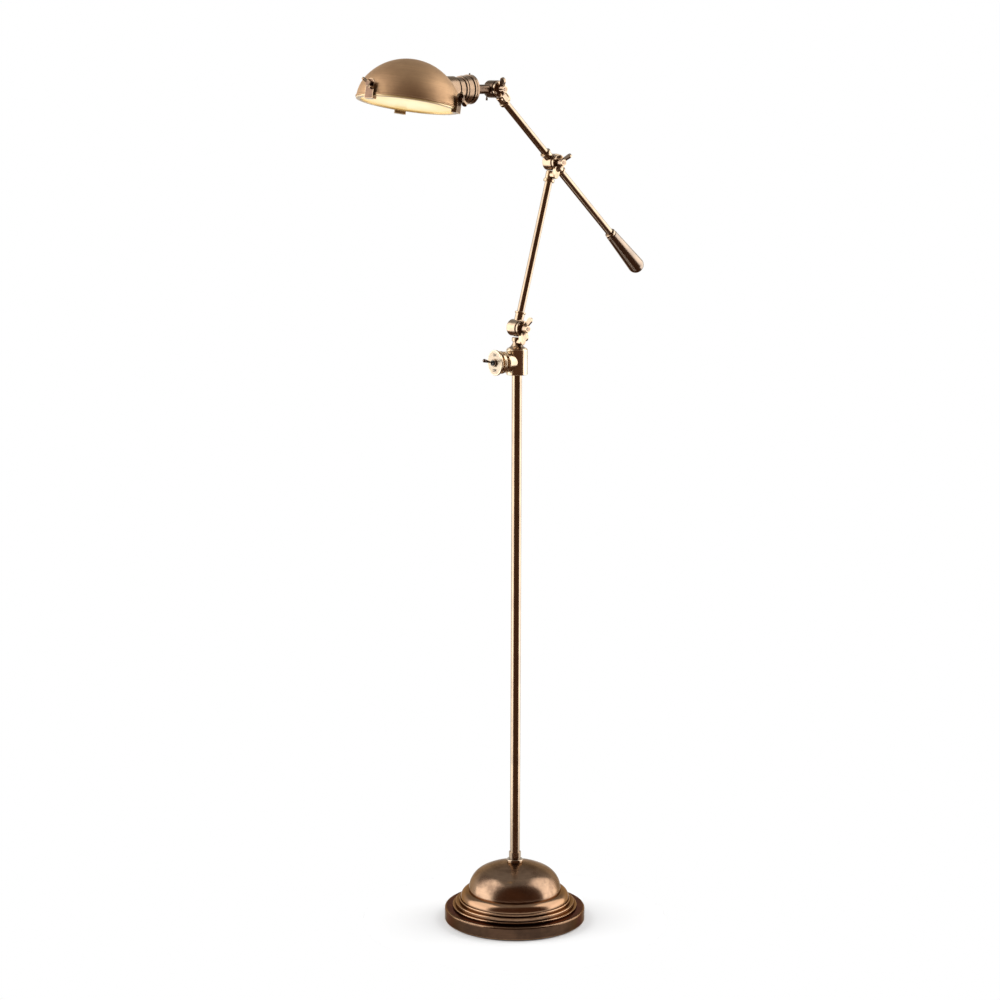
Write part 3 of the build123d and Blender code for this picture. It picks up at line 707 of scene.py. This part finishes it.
@dataclass
class Switch(Assembly):
    """Tee-shaped switch body with its plate, toggle and the words on the plate."""

    word_height: float = 0.0064
    word_weight: float = 0.00022
    word_thickness: float = 0.0002
    word_sink: float = 0.0001
    word_places: tuple[tuple[str, float], ...] = (("ON", 0.0128), ("OFF", -0.0128))
    # Its ringed barrel carries painted shade with dark wax in the grooves
    body_brass: BrassFinish = BrassFinish(
        "switch_bronze", metal=(0.55, 0.4, 0.235), dark=(0.24, 0.15, 0.08), roughness=0.2, dark_share=0.4,
        patches=60.0, wax_and_shade_reach=0.0015, wax_and_shade_share=0.5, rub=(0.75, 0.6, 0.4), rub_share=0.9,
    )
    plate_brass: BrassFinish = BrassFinish(
        "plate_brass", metal=(0.4, 0.3, 0.19), dark=(0.27, 0.18, 0.1), roughness=0.3, dark_share=0.4, patches=90.0
    )
    lever_brass: BrassFinish = BrassFinish(
        "lever_bronze", metal=(0.11, 0.06, 0.03), dark=(0.05, 0.025, 0.012), roughness=0.22
    )
    nut_brass: BrassFinish = BrassFinish(
        "switch_nut_brass", metal=(0.26, 0.15, 0.075), dark=BRONZE_DARK, roughness=0.2
    )
    plastic: PlainFinish = PlainFinish("moulded_black", (0.025, 0.025, 0.025), roughness=0.4, speckle_size=500.0)
    ink: PlainFinish = PlainFinish("word_ink", (0.03, 0.02, 0.015), roughness=0.6)

    def word(self, text: str, rise: float) -> None:
        """Prints one word on the plate.

        Args:
            text: The word.
            rise: How far above the middle of the plate it sits.
        """
        toggle = self.joint("toggle_tip")
        right, up = Vector(toggle["axis"]).normalized(), Vector(UP)
        outward = right.cross(up)
        face = max(vertex.co.dot(outward) for vertex in self.frame["nodes"]["switch_plate"].data.vertices)
        pivot = Vector(toggle["pos_m"])
        middle = pivot + (face - self.word_sink + self.word_thickness / 2 - pivot.dot(outward)) * outward
        curve = bpy.data.curves.new(f"word_{text}", "FONT")
        curve.body = text
        curve.size = self.word_height
        curve.extrude = self.word_thickness / 2
        curve.offset = self.word_weight
        curve.align_x = "CENTER"
        curve.align_y = "CENTER"
        stand_in = bpy.data.objects.new(f"word_{text}", curve)
        flat = bpy.data.meshes.new_from_object(stand_in)
        bpy.data.objects.remove(stand_in)
        bpy.data.curves.remove(curve)
        turn = Matrix((right, up, outward)).transposed().to_4x4()
        flat.transform(Matrix.Translation(middle + rise * up) @ turn)
        mesh = bmesh.new()
        mesh.from_mesh(flat)
        bpy.data.meshes.remove(flat)
        self.add_piece(f"word_{text.lower()}", mesh, self.ink, "stand")

    def build(self) -> None:
        """Dresses the switch and adds the words."""
        self.dress(self.body_brass, "switch_body")
        self.dress(self.plate_brass, "switch_plate")
        self.dress(self.nut_brass, "switch_nut")
        self.dress(self.lever_brass, "switch_lever")
        self.dress(self.plastic, "switch_case")
        for text, rise in self.word_places:
            self.word(text, rise)


@dataclass
class Knuckles(Assembly):
    """The neck, the three knuckles and their wing nuts."""

    fitting_brass: BrassFinish = BrassFinish(
        "fitting_bronze", metal=(0.38, 0.245, 0.125), dark=BRONZE_DARK, roughness=0.2, dark_share=0.45,
        patches=70.0, rub_share=0.6,
    )
    # A darker copy of the knuckle brass: painted shade on the head's eye and its stub
    painted_shade_brass: BrassFinish = BrassFinish(
        "painted_shade_bronze", metal=(0.13, 0.068, 0.031), dark=(0.045, 0.021, 0.009), roughness=0.24, dark_share=0.6,
        patches=90.0, lacquer=0.3,
    )
    wing_brass: BrassFinish = BrassFinish(
        "wing_brass", metal=(0.34, 0.205, 0.105), dark=BRONZE_DARK, roughness=0.24, dark_share=0.45,
        patches=90.0, rub_reach=0.0012, rub_share=0.6,
    )
    bolt_brass: BrassFinish = BrassFinish(
        "bolt_bronze", metal=(0.25, 0.14, 0.068), dark=BRONZE_DARK, roughness=0.24
    )
    fibre: PlainFinish = PlainFinish(
        "washer_fibre", (0.08, 0.05, 0.035), roughness=0.8, speckle=0.5, speckle_size=700.0
    )

    def build(self) -> None:
        """Dresses the knuckles."""
        self.dress(self.fitting_brass, "neck", "lower_eye", "lower_cheek", "mid_tee", "upper_cheek")
        # The head's eye and stub get the darker brass as painted shade
        self.dress(self.painted_shade_brass, "head_eye")
        self.dress(self.wing_brass, "lower_wing_nut", "mid_wing_nut", "top_wing_nut")
        self.dress(self.bolt_brass, "lower_bolt", "mid_bolt", "top_bolt")
        self.dress(self.fibre, "lower_washer", "mid_washer", "top_washer")


@dataclass
class Arms(Assembly):
    """Arm tubes and the counterweight grip."""

    def axis(self, low_joint: str, high_joint: str) -> Point:
        """Finds the direction of an arm.

        Args:
            low_joint: Joint at its lower end.
            high_joint: Joint at its upper end.

        Returns:
            The unit vector between the two joints.
        """
        low, high = (Vector(self.joint(name)["pos_m"]) for name in (low_joint, high_joint))
        return tuple((high - low).normalized())

    def tube_brass(self, name: str, axis: Point) -> BrassFinish:
        """Gives the drawn tube finish along one arm.

        Args:
            name: Name of the finish.
            axis: Direction of the arm.

        Returns:
            The finish.
        """
        return BrassFinish(
            name, metal=BRONZE, dark=BRONZE_DARK, roughness=0.16, dark_share=0.35, patches=40.0,
            grain=Grain.ALONG, tint=0.2, relief=DRAWN_RELIEF, axis=axis,
        )

    def build(self) -> None:
        """Dresses the arms."""
        lower = self.axis("lower_tilt", "mid_tilt")
        upper = self.axis("mid_tilt", "head_tilt")
        grip = BrassFinish(
            "grip_bronze", metal=(0.2, 0.125, 0.066), dark=(0.09, 0.048, 0.023), roughness=0.18, patches=60.0,
            grain=Grain.ALONG, lines=500.0, tint=0.4, axis=upper,
        )
        self.dress(self.tube_brass("lower_tube_bronze", lower), "lower_tube")
        self.dress(self.tube_brass("upper_tube_bronze", upper), "upper_tube", "rear_rod", "grip_collar")
        self.dress(grip, "counterweight_grip")


@dataclass
class Head(Assembly):
    """Socket cup, lit bulb, shade, lens and its clips."""

    # Only a little painted shade with wax in its grooves
    ring_brass: BrassFinish = BrassFinish(
        "lens_ring_brass", metal=(0.72, 0.5, 0.2), dark=(0.5, 0.32, 0.12), roughness=0.35, metallic=0.4,
        wax_and_shade_share=0.2,
    )
    clip_brass: BrassFinish = BrassFinish(
        "clip_bronze", metal=(0.13, 0.062, 0.029), dark=(0.05, 0.023, 0.01), roughness=0.24, patches=90.0,
        lacquer=0.3, rub_reach=0.0012, rub_share=0.6,
    )
    steel: PlainFinish = PlainFinish("screw_steel", (0.2, 0.16, 0.12), roughness=0.35, metallic=1.0, speckle_size=200.0)
    holder: PlainFinish = PlainFinish("holder_black", (0.03, 0.03, 0.03), roughness=0.45, speckle_size=400.0)
    cap: PlainFinish = PlainFinish(
        "cap_metal", (0.7, 0.68, 0.64), roughness=0.35, metallic=1.0, speckle=0.2, speckle_size=200.0
    )
    cup_axis: Point = (1.0, 0.0, 0.0)
    bulb_reach: float = 0.03

    def centre(self, node: str) -> Point:
        """Finds the middle of a node's box."""
        low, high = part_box(node)
        return tuple((Vector(low) + Vector(high)) / 2)

    def shade_axis(self) -> Point:
        """Finds the shade's own axis, square to two of its clip screws.

        Returns:
            The unit vector up through the shade's crown.
        """
        near, far = (Vector(self.joint(f"clip_screw_{place}_turn")["axis"]) for place in ("near", "far"))
        return tuple(near.cross(far).normalized())

    def build(self) -> None:
        """Dresses the head."""
        middle = self.centre("lens_glass")
        shade = BrassFinish(
            "shade_brass", metal=WARM_BRASS, dark=WARM_BRASS_DARK, roughness=0.5, patches=16.0,
            grain=Grain.AROUND, lines=1100.0, tint=0.42, centre=middle, axis=self.shade_axis(), lacquer=0.15,
            metallic=0.8,
        )
        cup = BrassFinish(
            "cup_bronze", metal=(0.25, 0.15, 0.078), dark=BRONZE_DARK, roughness=0.26, dark_share=0.4, patches=70.0,
            grain=Grain.AROUND, lines=1200.0, tint=0.2, centre=self.centre("socket_cup"), axis=self.cup_axis,
            lacquer=0.5,
        )
        # The lens's glow is painted light: it stands in for the bulb shining through the glass, paler in the middle and
        # golden at the rim
        lens = GlowFinish(
            "lens_painted_glow", colour=(0.55, 0.46, 0.28), middle=(0.92, 0.84, 0.53), rim=(0.84, 0.62, 0.25),
            strength=0.6, transmission=0.25, roughness=0.35, centre=middle,
        )
        bulb = GlowFinish(
            "bulb_glow", colour=(1.0, 0.93, 0.8), middle=(1.0, 0.86, 0.6), rim=(1.0, 0.72, 0.4),
            strength=2.0, transmission=0.0, roughness=0.4, centre=self.centre("bulb_glass"), reach=self.bulb_reach,
        )
        self.dress(shade, "shade", "clip_bosses")
        self.dress(cup, "socket_cup")
        self.dress(self.ring_brass, "lens_ring")
        self.dress(self.clip_brass, "lens_clips", "clip_screw_front", "clip_screw_near", "clip_screw_far")
        self.dress(self.steel, "head_screws")
        self.dress(self.holder, "lamp_holder")
        self.dress(self.cap, "bulb_cap")
        self.dress(bulb, "bulb_glass")
        self.dress(lens, "lens_glass")


# Studio


@dataclass
class PhotoCamera:
    """Camera at the photograph's viewing angle, placed from the foot of the pole."""

    around: float = math.radians(40.5)
    distance: float = 4.34
    height: float = 1.485
    focal_px: float = 2631.7
    image_px: float = 1000.0
    yaw: float = math.radians(-0.362)
    pitch: float = math.radians(9.86)
    roll: float = math.radians(0.18)
    sensor: float = 36.0
    sees_to: float = 60.0

    def axes(self) -> tuple[Vector, Vector, Vector]:
        """Works out where the camera points.

        Returns:
            Its right, up and forward directions.
        """
        level = Vector((math.sin(self.around), math.cos(self.around), 0.0))
        side = Vector((math.cos(self.around), -math.sin(self.around), 0.0))
        up = Vector(UP)
        ahead = math.cos(self.yaw) * level + math.sin(self.yaw) * side
        right = math.cos(self.yaw) * side - math.sin(self.yaw) * level
        forward = math.cos(self.pitch) * ahead - math.sin(self.pitch) * up
        above = math.cos(self.pitch) * up + math.sin(self.pitch) * ahead
        rolled_right = math.cos(self.roll) * right + math.sin(self.roll) * above
        rolled_up = math.cos(self.roll) * above - math.sin(self.roll) * right
        return rolled_right, rolled_up, forward

    def build(self) -> None:
        """Makes the camera and hands it to the scene."""
        data = bpy.data.cameras.new("photo_camera")
        data.sensor_width = self.sensor
        data.lens = self.focal_px / self.image_px * self.sensor
        data.clip_end = self.sees_to
        camera = bpy.data.objects.new("photo_camera", data)
        right, up, forward = self.axes()
        turn = Matrix((right, up, -forward)).transposed().to_4x4()
        place = Vector((-self.distance * math.sin(self.around), -self.distance * math.cos(self.around), self.height))
        camera.matrix_world = Matrix.Translation(place) @ turn
        bpy.context.scene.collection.objects.link(camera)
        bpy.context.scene.camera = camera
        LOG.info("camera at %s", tuple(round(part, 3) for part in place))


@dataclass(frozen=True)
class SoftLight:
    """A tall soft light at one side of the lamp, which reaches below the floor so that the pole mirrors it."""

    role: LampRole
    place: Point
    power: float
    target: Point = (0.0, 0.0, 1.15)
    wide: float = 2.6
    tall: float = 4.6

    def build(self) -> None:
        """Hangs the light and turns it to the lamp."""
        data = bpy.data.lights.new(f"{self.role.value}_light", "AREA")
        data.shape = "RECTANGLE"
        data.size = self.wide
        data.size_y = self.tall
        data.energy = self.power
        lamp = bpy.data.objects.new(f"{self.role.value}_light", data)
        aim = (Vector(self.target) - Vector(self.place)).to_track_quat("-Z", "Y").to_matrix().to_4x4()
        lamp.matrix_world = Matrix.Translation(Vector(self.place)) @ aim
        bpy.context.scene.collection.objects.link(lamp)
        LOG.info("%s light at %s", self.role.value, self.place)


@dataclass
class Studio:
    """White floor and surround, mirrored dark on the camera's side and below, with a soft light on each side."""

    floor_radius: float = 0.26
    floor_segments: int = 96
    floor_colour: Colour = (0.8, 0.8, 0.8)
    floor_roughness: float = 0.9
    floor_lift: float = 0.14
    surround: float = 1.0
    ambient: float = 0.5
    overhead: float = 0.4
    dark: Colour = (0.115, 0.052, 0.027)
    dark_towards: Point = (-0.492, -0.87, 0.0)
    dark_edge: Span = (0.28, 0.52)
    dim_above: Span = (0.2, 0.5)
    dark_below: Span = (-0.34, -0.58)
    lights: tuple[SoftLight, ...] = (
        SoftLight(LampRole.LEFT, (-1.87, 1.33, 1.6), 87.0),
        SoftLight(LampRole.RIGHT, (1.98, -1.17, 1.6), 92.0),
    )

    def build_world(self) -> None:
        """Makes the surround: white to the camera, an even light, and a room with dark sides to metal and glass."""
        world = bpy.data.worlds.new("studio")
        bpy.context.scene.world = world
        world.use_nodes = True
        tree = world.node_tree
        tree.nodes.clear()
        way = new_node(tree, "ShaderNodeTexCoord").outputs["Generated"]
        facing = new_node(tree, "ShaderNodeVectorMath", {0: way, 1: self.dark_towards}, operation="DOT_PRODUCT")
        rise = new_node(tree, "ShaderNodeSeparateXYZ", {"Vector": way}).outputs["Z"]
        front = soft_step(tree, facing.outputs["Value"], self.dark_edge)
        unlit = arithmetic(tree, "MAXIMUM", front, soft_step(tree, rise, self.dark_below))
        walls = new_node(
            tree,
            "ShaderNodeMix",
            {"Factor": soft_step(tree, rise, self.dim_above), "A": self.surround, "B": self.overhead},
            data_type="FLOAT",
        )
        room = mix_colours(tree, unlit, walls.outputs["Result"], self.dark)
        rays = new_node(tree, "ShaderNodeLightPath")
        lit = mix_colours(tree, mirrored_rays(tree, rays), (self.ambient,) * 3, room)
        seen = mix_colours(tree, rays.outputs["Is Camera Ray"], lit, (self.surround,) * 3)
        background = new_node(tree, "ShaderNodeBackground", {"Color": seen})
        new_node(tree, "ShaderNodeOutputWorld", {"Surface": background.outputs["Background"]})

    def build_floor(self) -> None:
        """Lays the round pale floor, lifted to white for the camera and in reflections, with the lamp's shadow."""
        mesh = bmesh.new()
        bmesh.ops.create_circle(mesh, cap_ends=True, segments=self.floor_segments, radius=self.floor_radius)
        data = bpy.data.meshes.new("floor")
        mesh.to_mesh(data)
        mesh.free()
        floor = bpy.data.objects.new("floor", data)
        bpy.context.scene.collection.objects.link(floor)
        material, tree, shader = new_material("floor_white")
        rays = new_node(tree, "ShaderNodeLightPath")
        seen = arithmetic(tree, "MAXIMUM", mirrored_rays(tree, rays), rays.outputs["Is Camera Ray"])
        feed_all(
            tree,
            shader,
            {
                "Base Color": rgba(self.floor_colour),
                "Roughness": self.floor_roughness,
                "Specular IOR Level": 0.0,
                "Emission Color": rgba(WHITE),
                "Emission Strength": arithmetic(tree, "MULTIPLY", seen, self.floor_lift),
            },
        )
        data.materials.append(material)

    def build(self) -> None:
        """Makes the floor, the surround and the lights."""
        self.build_world()
        self.build_floor()
        for light in self.lights:
            light.build()
        bpy.context.scene.view_settings.view_transform = "Standard"


def main() -> None:
    """Builds the lamp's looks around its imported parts."""
    logging.basicConfig(level=logging.INFO, format="%(name)s: %(message)s")
    bpy.ops.wm.read_factory_settings(use_empty=True)
    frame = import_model()
    effects = Effects()
    for assembly in (Base, Switch, Knuckles, Arms, Head):
        assembly(frame, effects).build()
    Studio().build()
    PhotoCamera().build()


if __name__ == "__main__":
    main()
